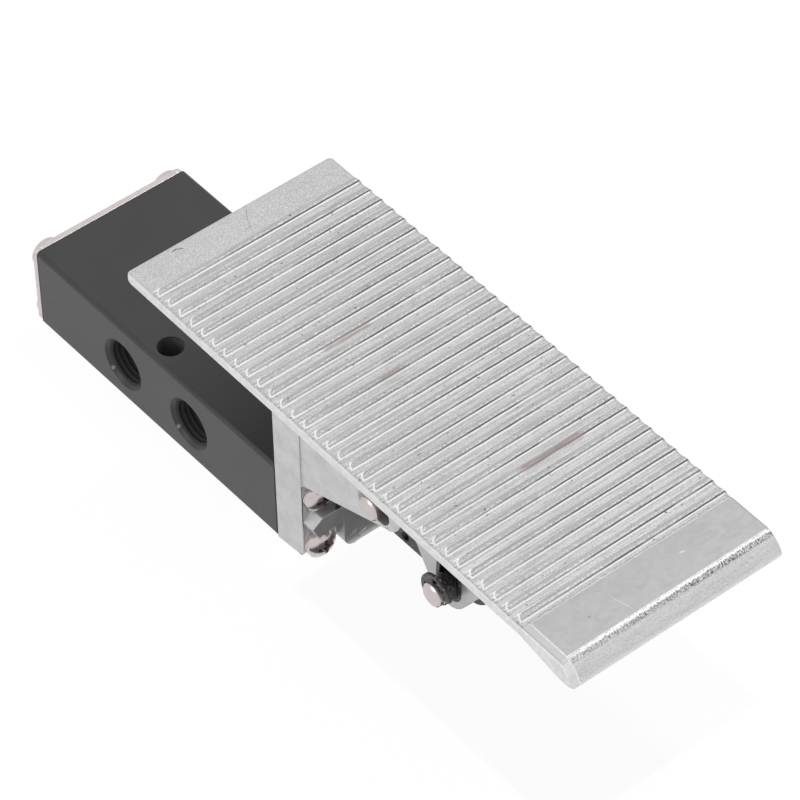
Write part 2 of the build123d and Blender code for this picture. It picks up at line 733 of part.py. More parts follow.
spring_base = -body_front - gasket_thickness
spring_height = seat_rear - spring_base - 2 * spring_wire_r
with BuildPart() as return_spring:
    with BuildLine():
        coil = Helix(spring_height / spring_turns, spring_height, spring_r,
                     center=(spring_base + spring_wire_r, 0, spool_axis_z), direction=(1, 0, 0))
    with BuildSketch(Plane(origin=coil @ 0, z_dir=coil % 0)):
        Circle(spring_wire_r)
    sweep(path=coil, is_frenet=True)
save(return_spring.part, "return_spring")
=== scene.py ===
"""Foot pedal air valve: finishes, fine detail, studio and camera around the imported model."""
import json
import math

import bmesh
import bpy
from mathutils import Matrix, Vector


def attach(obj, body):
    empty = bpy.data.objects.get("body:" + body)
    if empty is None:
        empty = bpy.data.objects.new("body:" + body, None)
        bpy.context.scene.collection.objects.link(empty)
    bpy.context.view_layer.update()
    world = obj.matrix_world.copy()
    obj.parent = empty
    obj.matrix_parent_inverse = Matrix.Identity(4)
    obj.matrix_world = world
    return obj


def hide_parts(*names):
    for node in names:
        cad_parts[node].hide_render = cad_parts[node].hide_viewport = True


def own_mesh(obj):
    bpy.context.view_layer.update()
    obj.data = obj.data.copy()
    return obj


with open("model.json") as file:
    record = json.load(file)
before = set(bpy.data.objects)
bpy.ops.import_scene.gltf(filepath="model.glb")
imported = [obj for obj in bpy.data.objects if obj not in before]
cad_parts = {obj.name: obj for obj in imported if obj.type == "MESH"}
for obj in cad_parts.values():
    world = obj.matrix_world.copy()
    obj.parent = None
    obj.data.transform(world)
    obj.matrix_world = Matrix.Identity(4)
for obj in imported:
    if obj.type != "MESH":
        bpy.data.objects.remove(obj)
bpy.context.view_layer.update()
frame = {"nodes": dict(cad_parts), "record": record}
scene = bpy.context.scene
MM = 0.001

# Sizes that the finish needs, in millimetres, as in the construction
BODY_SIDE = 22.0
BODY_TOP = 23.5
HOLE_Y = 16.8
HOLE_R = 3.25
PORT_PITCH = 25.1
PORT_Z = 11.1
PORT_THREAD_R = 5.9
PORT_THREAD_DEPTH = 11.0
PORT_THREAD_PITCH = 1.34
PORT_CREST_R = 5.72
PORT_VALLEY_GAP = 0.02
PORT_CHAMFER = 1.3
PEDAL_ORIGIN = (2.7, 57.6)
PEDAL_TILT = 0.86
PEDAL_LENGTH = 153.7
PEDAL_WIDTH = 59.0
PEDAL_THICKNESS = 2.6
PEDAL_CORNER = 1.4
TOE_CORNER = 0.35
EDGE_R = 0.75
LOWER_EDGE_R = 0.3
LIP_EDGE_R = 1.0
FIRST_RIB = 11.35
RIB_PITCH = 4.02
RIB_COUNT = 32
RIB_WIDTH = 2.2
RIB_HEIGHT = 0.46
RIB_HEEL = 0.2
RIB_FLANK = 0.15
RIB_BORDER = 0.9
RIB_END = 1.7
RIB_END_BEND = 1.6
TOE_ZONE = (137.4, 149.5)
TOE_RISE = 0.2
TOE_BORDER = 2.2
NOSE_BACK = 4.0
NOSE_DROP = 4.9
NOSE_R = 8.0
NOSE_RIM = 0.4
LIP_LENGTH = 17.3
LIP_DEPTH = 5.65
LIP_FOOT = 4.4
LIP_TIP = 2.2
LUG_BACK = 12.0
LUG_FRONT = 130.0
LUG_SIDE = 27.5
LUG_OVERLAP = 0.3
LUG_EDGE_R = 0.25

# Places on the pedal, along from the heel or across it, that follow from the sizes
PEDAL_SIDE = PEDAL_WIDTH / 2
LAST_RIB = FIRST_RIB + (RIB_COUNT - 1) * RIB_PITCH
RIB_START = RIB_BORDER - PEDAL_SIDE
RIB_NEAR_END = RIB_BORDER + RIB_END - PEDAL_SIDE
TOE_FOLD = TOE_BORDER - PEDAL_SIDE
NOSE_START = PEDAL_LENGTH - NOSE_BACK - NOSE_RIM
LIP_START = PEDAL_LENGTH - LIP_LENGTH

# A rib's outline: places from its heel in flank lengths, then from its foot, with shares of its height
RIB_RISE = ((0, 0.0), (0.3, 0.55), (1, 0.95), (2, 1.0))
RIB_FALL = ((-0.42, 1.0), (-0.30, 0.95), (-0.18, 0.72), (-0.02, 0.30), (0.1, 0.0))

# Places of the plate's sections: from the near side, over the ribs' near ends, and from the far side
NEAR_STEPS = (0, 0.04, 0.14, 0.28, 0.42, 0.58, 0.74, 0.9, 1.25)
RIB_END_SHARES = (0.02, 0.08, 0.18, 0.32, 0.5, 0.7, 0.85, 1.0)
FAR_STEPS = (3.0, 2.2, 1.6, 1.1, 0.74, 0.5, 0.3, 0.14, 0.04, 0)
MIDDLE_STEP = 2.5
MIDDLE_STEPS = 10
NOSE_STEPS = 10
LIP_STEPS = 4

# Mesh work: vertices nearer than this in metres are one, and edges sharper than this in degrees are rounded
WELD = 2e-6
ROUNDED_ANGLE = 27
THREAD_SEGMENTS = 48

# The photograph's camera, in degrees, metres and millimetres of film
CAMERA_AZIMUTH = 51.777
CAMERA_ELEVATION = 45.862
CAMERA_ROLL = -1.487
CAMERA_DISTANCE = 1.11588
CAMERA_TARGET = (0.05226, 0.00884, 0.02981)
CAMERA_LENS = 222.41
CAMERA_FILM = 36

# The studio, in metres
LIGHT_TARGET = (0.055, 0.0, 0.03)
FLOOR_SIZE = 6.0
FLOOR_GLOW = 1.08
FLOOR_GLOW_SHARE = 0.88
WORLD_LIGHT = 0.45
CARD_PLACE = (0.106, 0.0, 0.0003)
CARD_SIZE = (0.094, 0.058)


def link(obj):
    """Puts an object in the scene."""
    scene.collection.objects.link(obj)
    return obj


def grey(value):
    """A neutral colour."""
    return (value, value, value)


def shade(colour, share):
    """A colour made darker or lighter."""
    return tuple(c * share for c in colour)


# Node helpers
def new_material(name, colour, metallic, roughness):
    """A Principled material with its constants on the shader's own sockets."""
    mat = bpy.data.materials.new(name)
    mat.use_nodes = True
    tree = mat.node_tree
    shader = tree.nodes["Principled BSDF"]
    shader.inputs["Base Color"].default_value = (*colour, 1)
    shader.inputs["Metallic"].default_value = metallic
    shader.inputs["Roughness"].default_value = roughness
    return mat, tree, shader


def coordinates(tree, stretch=(1, 1, 1)):
    """Object coordinates in millimetres, stretched along the axes."""
    coord = tree.nodes.new("ShaderNodeTexCoord")
    mapping = tree.nodes.new("ShaderNodeMapping")
    mapping.inputs["Scale"].default_value = [s / MM for s in stretch]
    tree.links.new(coord.outputs["Object"], mapping.inputs["Vector"])
    return mapping.outputs["Vector"]


def axes(tree, vector):
    """The three parts of a vector."""
    node = tree.nodes.new("ShaderNodeSeparateXYZ")
    tree.links.new(vector, node.inputs[0])
    return node.outputs


def noise(tree, vector, scale, detail=3.0, rough=0.55, distortion=0.0):
    """A noise texture's factor."""
    node = tree.nodes.new("ShaderNodeTexNoise")
    node.inputs["Scale"].default_value = scale
    node.inputs["Detail"].default_value = detail
    node.inputs["Roughness"].default_value = rough
    node.inputs["Distortion"].default_value = distortion
    tree.links.new(vector, node.inputs["Vector"])
    return node.outputs["Fac"]


def math_node(tree, operation, *values):
    """A math node on values that are each a socket or a number."""
    node = tree.nodes.new("ShaderNodeMath")
    node.operation = operation
    for socket, value in zip(node.inputs, values):
        if isinstance(value, (int, float)):
            socket.default_value = value
        else:
            tree.links.new(value, socket)
    return node.outputs[0]


def plus(tree, a, b):
    """The sum of two values."""
    return math_node(tree, "ADD", a, b)


def minus(tree, a, b):
    """The difference of two values."""
    return math_node(tree, "SUBTRACT", a, b)


def larger(tree, a, b):
    """The larger of two values."""
    return math_node(tree, "MAXIMUM", a, b)


def size_of(tree, value):
    """A value without its sign."""
    return math_node(tree, "ABSOLUTE", value)


def times(tree, *values):
    """The product of several values."""
    product = values[0]
    for value in values[1:]:
        product = math_node(tree, "MULTIPLY", product, value)
    return product


def length(tree, a, b):
    """The length of the way with two parts at a right angle."""
    squares = plus(tree, math_node(tree, "POWER", a, 2.0), math_node(tree, "POWER", b, 2.0))
    return math_node(tree, "SQRT", squares)


def ramp(tree, value, low, high, out_low=0.0, out_high=1.0):
    """Maps a value's range to another range, clamped."""
    node = tree.nodes.new("ShaderNodeMapRange")
    for socket, number in zip(("From Min", "From Max", "To Min", "To Max"), (low, high, out_low, out_high)):
        node.inputs[socket].default_value = number
    tree.links.new(value, node.inputs["Value"])
    return node.outputs["Result"]


def less(tree, value, edge, soft):
    """One where a value is below an edge, fading to nothing over a soft width."""
    return ramp(tree, value, edge - soft / 2, edge + soft / 2, 1.0, 0.0)


def band(tree, value, low, high, soft):
    """One where a value is between two edges."""
    above = ramp(tree, value, low - soft / 2, low + soft / 2)
    return times(tree, above, less(tree, value, high, soft))


def mix_colour(tree, factor, low, high):
    """Mixes two colours, each a socket or a colour, by a factor."""
    node = tree.nodes.new("ShaderNodeMix")
    node.data_type = "RGBA"
    factor_socket = [s for s in node.inputs if s.name == "Factor"][0]
    tree.links.new(factor, factor_socket)
    for name, value in (("A", low), ("B", high)):
        socket = [s for s in node.inputs if s.name == name and s.type == "RGBA"][0]
        if isinstance(value, tuple):
            socket.default_value = (*value, 1)
        else:
            tree.links.new(value, socket)
    return [s for s in node.outputs if s.type == "RGBA"][0]


def mottled(tree, cloud, low, high, colour, darker, lighter):
    """A colour that a noise makes darker and lighter, by two shares."""
    return mix_colour(tree, ramp(tree, cloud, low, high), shade(colour, darker), shade(colour, lighter))


def painted(tree, tone, coats):
    """A tone under coats, each a mask and a colour, one over the other."""
    for mask, colour in coats:
        tone = mix_colour(tree, mask, tone, colour)
    return tone


def bump(tree, shader, height, distance):
    """Feeds a height to the shader's normal, with its distance in millimetres."""
    node = tree.nodes.new("ShaderNodeBump")
    node.inputs["Distance"].default_value = distance * MM
    node.inputs["Strength"].default_value = 1.0
    tree.links.new(height, node.inputs["Height"])
    tree.links.new(node.outputs["Normal"], shader.inputs["Normal"])


# The pedal's casting
PEDAL_GREY = (0.525, 0.523, 0.523)
# The sides' grey is the pedal's grey with painted light, lighter as if lit from the side.
LIT_SIDE_GREY = (0.76, 0.757, 0.757)
# BRIGHT is the white of the painted highlights; DARK serves both painted shade and the casting's own pits
# and specks.
BRIGHT = grey(0.98)
DARK = (0.07, 0.07, 0.071)
BROWN = (0.30, 0.235, 0.225)
CRACK = grey(0.13)
SCRATCH = grey(0.8)

# Stains and flaws on the pedal: place along and across, reach each way, lean, depth, colour
STAINS = (
    ((47.6, -4.0), (0.75, 6.4), 0.0, 0.55, BROWN),
    ((62.8, -3.9), (0.7, 3.1), 0.0, 0.6, BROWN),
    ((102.95, 8.1), (0.9, 8.6), 0.0, 0.8, BROWN),
    ((1.65, -16.9), (0.16, 0.7), -0.1, 1.0, CRACK),
    ((2.0, -15.7), (0.17, 0.75), 0.6, 1.0, CRACK),
    ((2.3, 3.2), (0.13, 1.2), -1.5, 0.6, CRACK),
    ((4.9, 1.75), (0.13, 1.1), -2.0, 0.6, CRACK),
    ((6.6, 0.1), (0.13, 1.0), -0.2, 0.55, CRACK),
    ((1.7, 21.3), (0.12, 0.5), -5.0, 0.45, CRACK),
    ((3.4, 19.4), (0.12, 1.3), 0.8, 0.35, CRACK),
    ((25.6, -14.9), (0.14, 0.3), 0.3, 0.9, CRACK),
    ((143.9, -16.5), (0.35, 0.35), 0.0, 0.4, CRACK),
    ((145.2, -8.7), (0.3, 0.62), 4.0, 0.7, SCRATCH),
    ((142.6, 10.6), (0.12, 0.6), 0.3, 0.9, SCRATCH),
)


class PedalSurface:
    """Where a point of the pedal lies, in millimetres, the noises there, and the zones as masks."""

    def __init__(self, tree):
        place = coordinates(tree)
        x, self.y, z = axes(tree, place)
        self.along = minus(tree, x, PEDAL_ORIGIN[0])
        level = plus(tree, z, times(tree, self.along, math.tan(math.radians(PEDAL_TILT))))
        self.lift = minus(tree, level, PEDAL_ORIGIN[1])

        def drawn(across, *numbers):
            """A noise that is drawn out across the pedal."""
            return noise(tree, coordinates(tree, (1, across, 1)), *numbers)

        self.streaks = drawn(0.07, 2.3, 3, 0.6)
        self.lines = drawn(0.012, 3.2, 2, 0.5)
        self.grain = drawn(0.6, 4.6, 3, 0.65)
        self.fade = drawn(0.10, 0.7, 3, 0.6)
        self.pits = drawn(0.6, 1.25, 3, 0.65)
        self.specks = drawn(0.7, 2.4, 2, 0.5)
        self.crumbs = drawn(0.8, 2.0, 4, 0.7)
        self.smudge = drawn(0.7, 0.35, 5, 0.65, 1.5)
        self.broad = noise(tree, place, 0.10, 3)
        self.chips = noise(tree, coordinates(tree, (0.55, 1.0, 0.55)), 3.0, 3, 0.7)
        self.ragged = ramp(tree, self.grain, 0.32, 0.46, 0.55, 1.0)
        self.jagged = plus(tree, self.along, ramp(tree, self.chips, 0.3, 0.7, -0.28, 0.28))

        self.top = ramp(tree, self.lift, -0.34, -0.1)
        self.ribbed = times(tree, self.top,
                            band(tree, self.along, FIRST_RIB - RIB_WIDTH - 0.3, LAST_RIB + 0.5, 0.1))
        self.smooth_zone = times(tree, self.top, band(tree, self.along, *TOE_ZONE, 0.1))
        self.inside = ramp(tree, self.y, TOE_FOLD - 0.1, TOE_FOLD + 0.1)
        self.nose = times(tree, self.inside, ramp(tree, self.along, NOSE_START, NOSE_START + 0.3))
        self.rough_top = times(tree, self.top, minus(tree, 1.0, self.smooth_zone))
        self.rough = larger(tree, self.rough_top, self.nose)

        # How far a point is past its rib's foot, from three quarters of a pitch before that foot. The ten
        # whole pitches keep the modulo's value above zero.
        before = 0.75
        shifted = plus(tree, self.along, ramp(tree, drawn(0.3, 0.9, 2), 0.2, 0.8, -0.06, 0.06))
        pitches = plus(tree, shifted, (10 + before) * RIB_PITCH - FIRST_RIB)
        self.phase = minus(tree, math_node(tree, "MODULO", pitches, RIB_PITCH), before * RIB_PITCH)


def face_coats(tree, on):
    """Tones of the smooth toe zone, and painted light: the sides and the nose lighter than the top, and the
    nose's lower edge lighter still.
    """
    smooth = times(tree, on.smooth_zone, ramp(tree, on.y, TOE_FOLD - 0.1, TOE_FOLD))
    on_plate = larger(tree, ramp(tree, on.lift, -PEDAL_THICKNESS - 0.3, -PEDAL_THICKNESS),
                      ramp(tree, on.along, LIP_START, LIP_START + 1))
    # Painted light: the sides and the underside get a lighter grey, as if lit from the side.
    lit_sides = times(tree, minus(tree, 1.0, on.top), on_plate)
    # Painted light: the nose lighter than the top, and its lower edge lighter still.
    lit_nose_tone = mix_colour(tree, ramp(tree, on.streaks, 0.3, 0.7), grey(0.60), grey(0.72))
    return [
        (smooth, mottled(tree, on.smudge, 0.3, 0.7, PEDAL_GREY, 0.79, 0.93)),
        (lit_sides, mottled(tree, on.smudge, 0.32, 0.68, LIT_SIDE_GREY, 0.90, 1.10)),
        (on.nose, lit_nose_tone),
        (times(tree, on.nose, ramp(tree, on.lift, -3.7, -4.6), 0.75), grey(0.86)),
    ]


def grain_coats(tree, on):
    """Grain on the rough top and the nose, then streaks and glints on the ribs."""
    coats = [
        (times(tree, on.rough, ramp(tree, on.grain, 0.52, 0.72)), shade(PEDAL_GREY, 1.55)),
        (times(tree, on.rough, ramp(tree, on.grain, 0.46, 0.28), 0.6), shade(PEDAL_GREY, 0.5)),
    ]
    streaks = (
        (ramp(tree, on.streaks, 0.52, 0.70), 0.5, 0.6),
        (ramp(tree, on.lines, 0.52, 0.66), 0.45, 0.6),
        (ramp(tree, on.lines, 0.48, 0.34), 0.45, 1.35),
        (band(tree, on.phase, -1.95, -1.25, 0.5), 0.25, 0.6),
        (band(tree, on.phase, 0.24, 0.42, 0.14), 0.45, 0.6),
    )
    for mask, depth, share in streaks:
        coats.append((times(tree, on.ribbed, mask, depth), shade(PEDAL_GREY, share)))
    glints = times(tree, on.ribbed, band(tree, on.phase, -1.25, -0.65, 0.3),
                   ramp(tree, on.specks, 0.50, 0.62), 0.6)
    coats.append((glints, BRIGHT))
    return coats


def rib_coats(tree, on):
    """Each rib's edges: painted shade in the crease and a painted highlight down the flank on its toe side,
    and painted highlight lines at its heel and near end.
    """
    started = times(tree, ramp(tree, on.y, RIB_START, RIB_START + 0.2),
                    less(tree, on.y, PEDAL_SIDE - 0.8, 0.5))
    over = minus(tree, plus(tree, on.phase, RIB_HEIGHT), on.lift)
    # Painted shade: a dark line in the crease by each rib's toe side, fainter towards the near end.
    crease_shade = times(tree, on.ribbed, band(tree, over, -0.50, -0.10, 0.1),
                 ramp(tree, on.fade, 0.34, 0.50, 0.5, 1.0), ramp(tree, on.y, RIB_NEAR_END, 2.0, 0.4, 1.0))
    # Painted highlight down each rib's toe flank.
    flank_highlight = times(tree, on.ribbed, started, band(tree, over, -0.03, 0.50, 0.08),
                 ramp(tree, on.grain, 0.30, 0.42, 0.75, 1.0))
    # Painted highlights along each rib's heel and round its near end.
    heel = times(tree, on.ribbed, band(tree, on.phase, -RIB_WIDTH - 0.14, 0.12 - RIB_WIDTH, 0.1), started,
                 ramp(tree, on.fade, 0.42, 0.62, 0.2, 0.8),
                 ramp(tree, on.y, RIB_NEAR_END, RIB_NEAR_END + 6, 1.0, 0.25), on.ragged)
    across = math_node(tree, "DIVIDE", minus(tree, RIB_NEAR_END, on.y), RIB_END)
    back = math_node(tree, "DIVIDE", on.phase, -RIB_WIDTH)
    bent = [math_node(tree, "POWER", larger(tree, part, 0.0), RIB_END_BEND) for part in (across, back)]
    end = times(tree, on.ribbed, band(tree, plus(tree, *bent), 0.78, 1.10, 0.08),
                less(tree, on.y, RIB_NEAR_END, 0.3), less(tree, on.phase, 0.05, 0.05), on.ragged)
    return [(crease_shade, DARK), (flank_highlight, BRIGHT), (heel, BRIGHT), (end, BRIGHT)]


def pit_coats(tree, on):
    """Pits in the ribbed part, specks, and a broken dark line behind the last rib."""
    behind = times(tree, on.top, band(tree, on.jagged, LAST_RIB + 0.75, LAST_RIB + 0.95, 0.1),
                   on.ragged, 0.5)
    return [
        (times(tree, on.ribbed, ramp(tree, on.pits, 0.66, 0.70), 0.85), DARK),
        (times(tree, on.rough_top, ramp(tree, on.specks, 0.71, 0.76), 0.7), DARK),
        (behind, DARK),
    ]


def stain_coats(tree, on):
    """The stains and flaws of this one casting."""
    coats = []
    for (u, v), (reach_u, reach_v), lean, depth, colour in STAINS:
        off_v = minus(tree, on.y, v)
        off_u = minus(tree, minus(tree, on.along, u), times(tree, off_v, lean))
        stain = times(tree, less(tree, size_of(tree, off_u), reach_u, reach_u * 0.5),
                      less(tree, size_of(tree, off_v), reach_v, min(reach_v, 2.0)), on.top,
                      ramp(tree, on.streaks, 0.35, 0.6, 0.6, 1.0), depth)
        coats.append((stain, colour))
    return coats


def toe_coats(tree, on):
    """The toe: painted highlights along the borders and the rim, and painted shade in dark speckles below
    the rim.
    """
    # Painted highlights along the raised zone's border and the nose's fold.
    fold_highlight = times(tree, on.smooth_zone, ramp(tree, on.grain, 0.35, 0.6, 0.1, 0.9),
                   band(tree, on.y, TOE_FOLD - 0.02, TOE_FOLD + 0.2, 0.1))
    ridge = times(tree, ramp(tree, on.along, NOSE_START + 0.3, NOSE_START + 0.5),
                  ramp(tree, on.crumbs, 0.42, 0.56),
                  band(tree, on.y, TOE_FOLD - 0.15, TOE_FOLD + 0.2, 0.12))
    # Painted highlight along the rim, then painted shade in dark speckles below it.
    rim = times(tree, on.inside, band(tree, on.jagged, NOSE_START + 0.05, NOSE_START + 0.55, 0.12),
                ramp(tree, on.y, TOE_FOLD + 2.6, TOE_FOLD + 3.4, 0.45, 1.0))
    rim_shade_speckles = times(tree, on.inside, band(tree, on.jagged, NOSE_START + 0.6, NOSE_START + 1.6, 0.35),
                     ramp(tree, on.chips, 0.40, 0.56), ramp(tree, on.pits, 0.34, 0.5, 0.35, 1.0),
                     ramp(tree, on.y, TOE_FOLD + 1.0, 12.0, 0.6, 1.0))
    return [(fold_highlight, BRIGHT), (ridge, BRIGHT), (rim, BRIGHT), (rim_shade_speckles, DARK)]


def pedal_metal(name):
    """The pedal's finish: a grey casting with its coats from the faces up to the toe's painted highlights
    and shade.
    """
    mat, tree, shader = new_material(name, PEDAL_GREY, 0.75, 0.45)
    on = PedalSurface(tree)
    tone = mottled(tree, on.broad, 0.3, 0.7, PEDAL_GREY, 0.96, 1.04)
    for coats in (face_coats, grain_coats, rib_coats, pit_coats, stain_coats, toe_coats):
        tone = painted(tree, tone, coats(tree, on))
    tree.links.new(tone, shader.inputs["Base Color"])
    tree.links.new(ramp(tree, on.grain, 0.2, 0.8, 0.38, 0.50), shader.inputs["Roughness"])
    height = times(tree, plus(tree, on.grain, on.streaks), ramp(tree, on.rough, 0.0, 1.0, 0.15, 0.9))
    bump(tree, shader, plus(tree, height, times(tree, on.nose, on.crumbs, 2.4)), 0.06)
    return mat


# The other materials
def cast_metal(name, colour, grain, roughness):
    """Cast aluminium: mottled tone, fine grain, a few dark pits."""
    mat, tree, shader = new_material(name, colour, 0.6, roughness)
    place = coordinates(tree)
    fine = noise(tree, place, 2.4, 4)
    pits = noise(tree, place, 0.9, 5, 0.7)
    tone = mottled(tree, noise(tree, place, 0.22, 4, 0.6), 0.32, 0.66, colour, 0.80, 1.06)
    tone = painted(tree, tone, [
        (ramp(tree, fine, 0.35, 0.7, 0.0, 0.7), shade(colour, 1.12)),
        (ramp(tree, pits, 0.70, 0.76), shade(colour, 0.55)),
    ])
    tree.links.new(tone, shader.inputs["Base Color"])
    sheen = ramp(tree, fine, 0.2, 0.8, roughness - 0.06, roughness + 0.08)
    tree.links.new(sheen, shader.inputs["Roughness"])
    bump(tree, shader, plus(tree, fine, times(tree, pits, 1.5)), grain)
    return mat


def block_openings(tree):
    """A mask of the ports, and coats for the ports, painted light on the holes' walls and a painted
    highlight on the thread crests, and a painted glint at each mouth.
    """
    lit_depth = 0.95
    glint_off = 4.75
    x, y, z = axes(tree, coordinates(tree))
    depth_y = size_of(tree, y)
    shift = times(tree, less(tree, y, 0.0, 0.1), PORT_PITCH / 2)
    off_x = math_node(tree, "WRAP", plus(tree, x, shift), PORT_PITCH / 2, -PORT_PITCH / 2)
    off_z = minus(tree, z, PORT_Z)
    radius = length(tree, off_x, off_z)
    deep = less(tree, depth_y, BODY_SIDE - lit_depth, 0.1)
    in_port = times(tree, deep, less(tree, radius, PORT_THREAD_R + 0.3, 0.1))
    # Painted highlight on the thread crests.
    crest_highlight = times(tree, deep, less(tree, radius, PORT_CREST_R + 0.05, 0.05))
    hole_x = minus(tree, PORT_PITCH / 2, size_of(tree, off_x))
    hole_radius = length(tree, hole_x, minus(tree, depth_y, HOLE_Y))
    # Painted light: the mounting holes' walls lighter than the black body.
    lit_hole_wall = times(tree, less(tree, hole_radius, HOLE_R + 0.12, 0.05),
                    band(tree, z, 0.3, BODY_TOP - 0.3, 0.2))
    glint = times(tree, less(tree, depth_y, BODY_SIDE - 0.1, 0.1),
                  less(tree, size_of(tree, plus(tree, off_x, glint_off)), 0.3, 0.4),
                  less(tree, size_of(tree, plus(tree, off_z, glint_off)), 0.4, 0.4),
                  ramp(tree, radius, 6.1, 6.3), 0.9)
    return in_port, [
        (in_port, (0.036, 0.036, 0.037)),
        (lit_hole_wall, (0.12, 0.12, 0.124)),
        (crest_highlight, (0.085, 0.085, 0.088)),
        (glint, grey(0.42)),
    ]


def anodised(name):
    """Black anodised aluminium: nearly black, with a faint grey bloom and fine extrusion lines along X."""
    mat, tree, shader = new_material(name, (0.032, 0.032, 0.034), 0.0, 0.42)
    lines = noise(tree, coordinates(tree, (0.04, 1, 1)), 6.0, 3)
    bloom = noise(tree, coordinates(tree), 0.06, 2)
    tone = mix_colour(tree, ramp(tree, bloom, 0.3, 0.7), (0.028, 0.028, 0.030), (0.038, 0.038, 0.040))
    in_port, coats = block_openings(tree)
    tree.links.new(painted(tree, tone, coats), shader.inputs["Base Color"])
    sheen = larger(tree, ramp(tree, lines, 0.3, 0.7, 0.38, 0.46), times(tree, in_port, 0.85))
    tree.links.new(sheen, shader.inputs["Roughness"])
    bump(tree, shader, lines, 0.004)
    return mat


def plated(name, colour, roughness):
    """Plated or ground steel: smooth, with a slight wave in tone and sheen."""
    mat, tree, shader = new_material(name, colour, 1.0, roughness)
    place = coordinates(tree)
    fine = noise(tree, place, 5.0, 3)
    tone = mottled(tree, noise(tree, place, 0.5, 3), 0.3, 0.7, colour, 0.9, 1.0)
    tree.links.new(tone, shader.inputs["Base Color"])
    sheen = ramp(tree, fine, 0.3, 0.7, roughness * 0.8, roughness * 1.25)
    tree.links.new(sheen, shader.inputs["Roughness"])
    bump(tree, shader, fine, 0.01)
    return mat


def dull(name, colour, roughness, grain, glints=0.0):
    """Rubber, fibre or oxide: no metal sheen, a fine grain, and painted glints in spots where glints is
    above zero.
    """
    mat, tree, shader = new_material(name, colour, 0.0, roughness)
    fine = noise(tree, coordinates(tree), 3.0, 4)
    tone = mottled(tree, fine, 0.3, 0.7, colour, 0.8, 1.25)
    if glints:
        glint_spots = noise(tree, coordinates(tree), 1.7, 5, 0.7)
        # Painted highlights: grey spots, where the roughness is also lower.
        tone = mix_colour(tree, ramp(tree, glint_spots, 0.54, 0.66, 0.0, glints), tone, grey(0.45))
        tree.links.new(ramp(tree, glint_spots, 0.5, 0.66, roughness, 0.2), shader.inputs["Roughness"])
    tree.links.new(tone, shader.inputs["Base Color"])
    bump(tree, shader, fine, grain)
    return mat


materials = {
    "black_anodised": anodised("black_anodised"),
    "plated_steel": plated("plated_steel", (0.64, 0.585, 0.58), 0.32),
    "screw_steel": plated("screw_steel", (0.60, 0.55, 0.54), 0.2),
    "pin_steel": plated("pin_steel", (0.60, 0.55, 0.54), 0.30),
    "cast_aluminium": cast_metal("cast_aluminium", grey(0.63), 0.05, 0.42),
    "pedal_aluminium": pedal_metal("pedal_aluminium"),
    "black_steel": dull("black_steel", (0.028, 0.028, 0.029), 0.38, 0.06, 0.7),
    "lever_steel": plated("lever_steel", (0.28, 0.27, 0.26), 0.38),
    "spool_aluminium": plated("spool_aluminium", (0.62, 0.62, 0.63), 0.3),
    "spring_steel": plated("spring_steel", (0.4, 0.39, 0.38), 0.3),
    "bronze": plated("bronze", (0.5, 0.33, 0.16), 0.4),
    "gasket_fibre": dull("gasket_fibre", grey(0.045), 0.8, 0.02),
    "seal_rubber": dull("seal_rubber", grey(0.028), 0.45, 0.08, 0.8),
}
node_slots = {s["node"]: s["material_slot"] for s in frame["record"]["subparts"]}
for node, obj in frame["nodes"].items():
    obj.data.materials.clear()
    obj.data.materials.append(materials[node_slots[node]])


# Mesh helpers
def mesh_from(name, bm):
    """A mesh from one in the making."""
    mesh = bpy.data.meshes.new(name)
    bm.to_mesh(mesh)
    bm.free()
    return mesh


def shaded(mesh, crease):
    """A mesh with soft shading up to a crease angle."""
    mesh.shade_smooth()
    mesh.set_sharp_from_angle(angle=math.radians(crease))
    return mesh


def piece_of(name, mesh, slot, body):
    """A piece in a slot's material that rides on a body."""
    mesh.materials.append(materials[slot])
    piece = link(bpy.data.objects.new(name, mesh))
    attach(piece, body)
    return piece


def rounded(bm, width, shortest=0.6):
    """Rounds the sharp edges of a solid that are long enough to have room for it."""
    bmesh.ops.remove_doubles(bm, verts=bm.verts, dist=WELD)
    sharp = [edge for edge in bm.edges if len(edge.link_faces) == 2 and edge.calc_length() > shortest * MM
             and edge.calc_face_angle() > math.radians(ROUNDED_ANGLE)]
    bmesh.ops.bevel(bm, geom=sharp, offset=width * MM, offset_type="OFFSET", segments=2, profile=0.5,
                    affect="EDGES", clamp_overlap=False)


def finished(name, bm, slot, body, crease=50):
    """A piece from a mesh in the making, with soft shading that keeps flat faces flat."""
    piece = piece_of(name, shaded(mesh_from(name, bm), crease), slot, body)
    weighted = piece.modifiers.new("normals", "WEIGHTED_NORMAL")
    weighted.keep_sharp = True
    weighted.weight = 100
    return piece


def softened(node, body, width, shortest=0.6):
    """A copy of a CAD node with rounded edges, which stands for it."""
    bm = bmesh.new()
    bm.from_mesh(frame["nodes"][node].data)
    if width:
        rounded(bm, width, shortest)
    piece = finished(node + "_finished", bm, node_slots[node], body)
    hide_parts(node)
    return piece


# The pedal's plate
def arc_points(start, end, r, count):
    """Points on an arc of radius r from start to end that bulges to the left of the way."""
    sx, sy = start
    ex, ey = end
    chord = math.hypot(ex - sx, ey - sy)
    lift = math.sqrt(r * r - chord * chord / 4)
    mx = (sx + ex) / 2 + (ey - sy) / chord * lift
    my = (sy + ey) / 2 - (ex - sx) / chord * lift
    first = math.atan2(sy - my, sx - mx)
    turn = 2 * math.asin(chord / (2 * r))
    return [(mx + r * math.cos(first - turn * k / count), my + r * math.sin(first - turn * k / count))
            for k in range(count + 1)]


def edge_drop(gap, r):
    """How far a rounded edge of radius r drops at a distance from the side."""
    if gap >= r:
        return 0.0
    return r - math.sqrt(max(r * r - (r - gap) ** 2, 0.0))


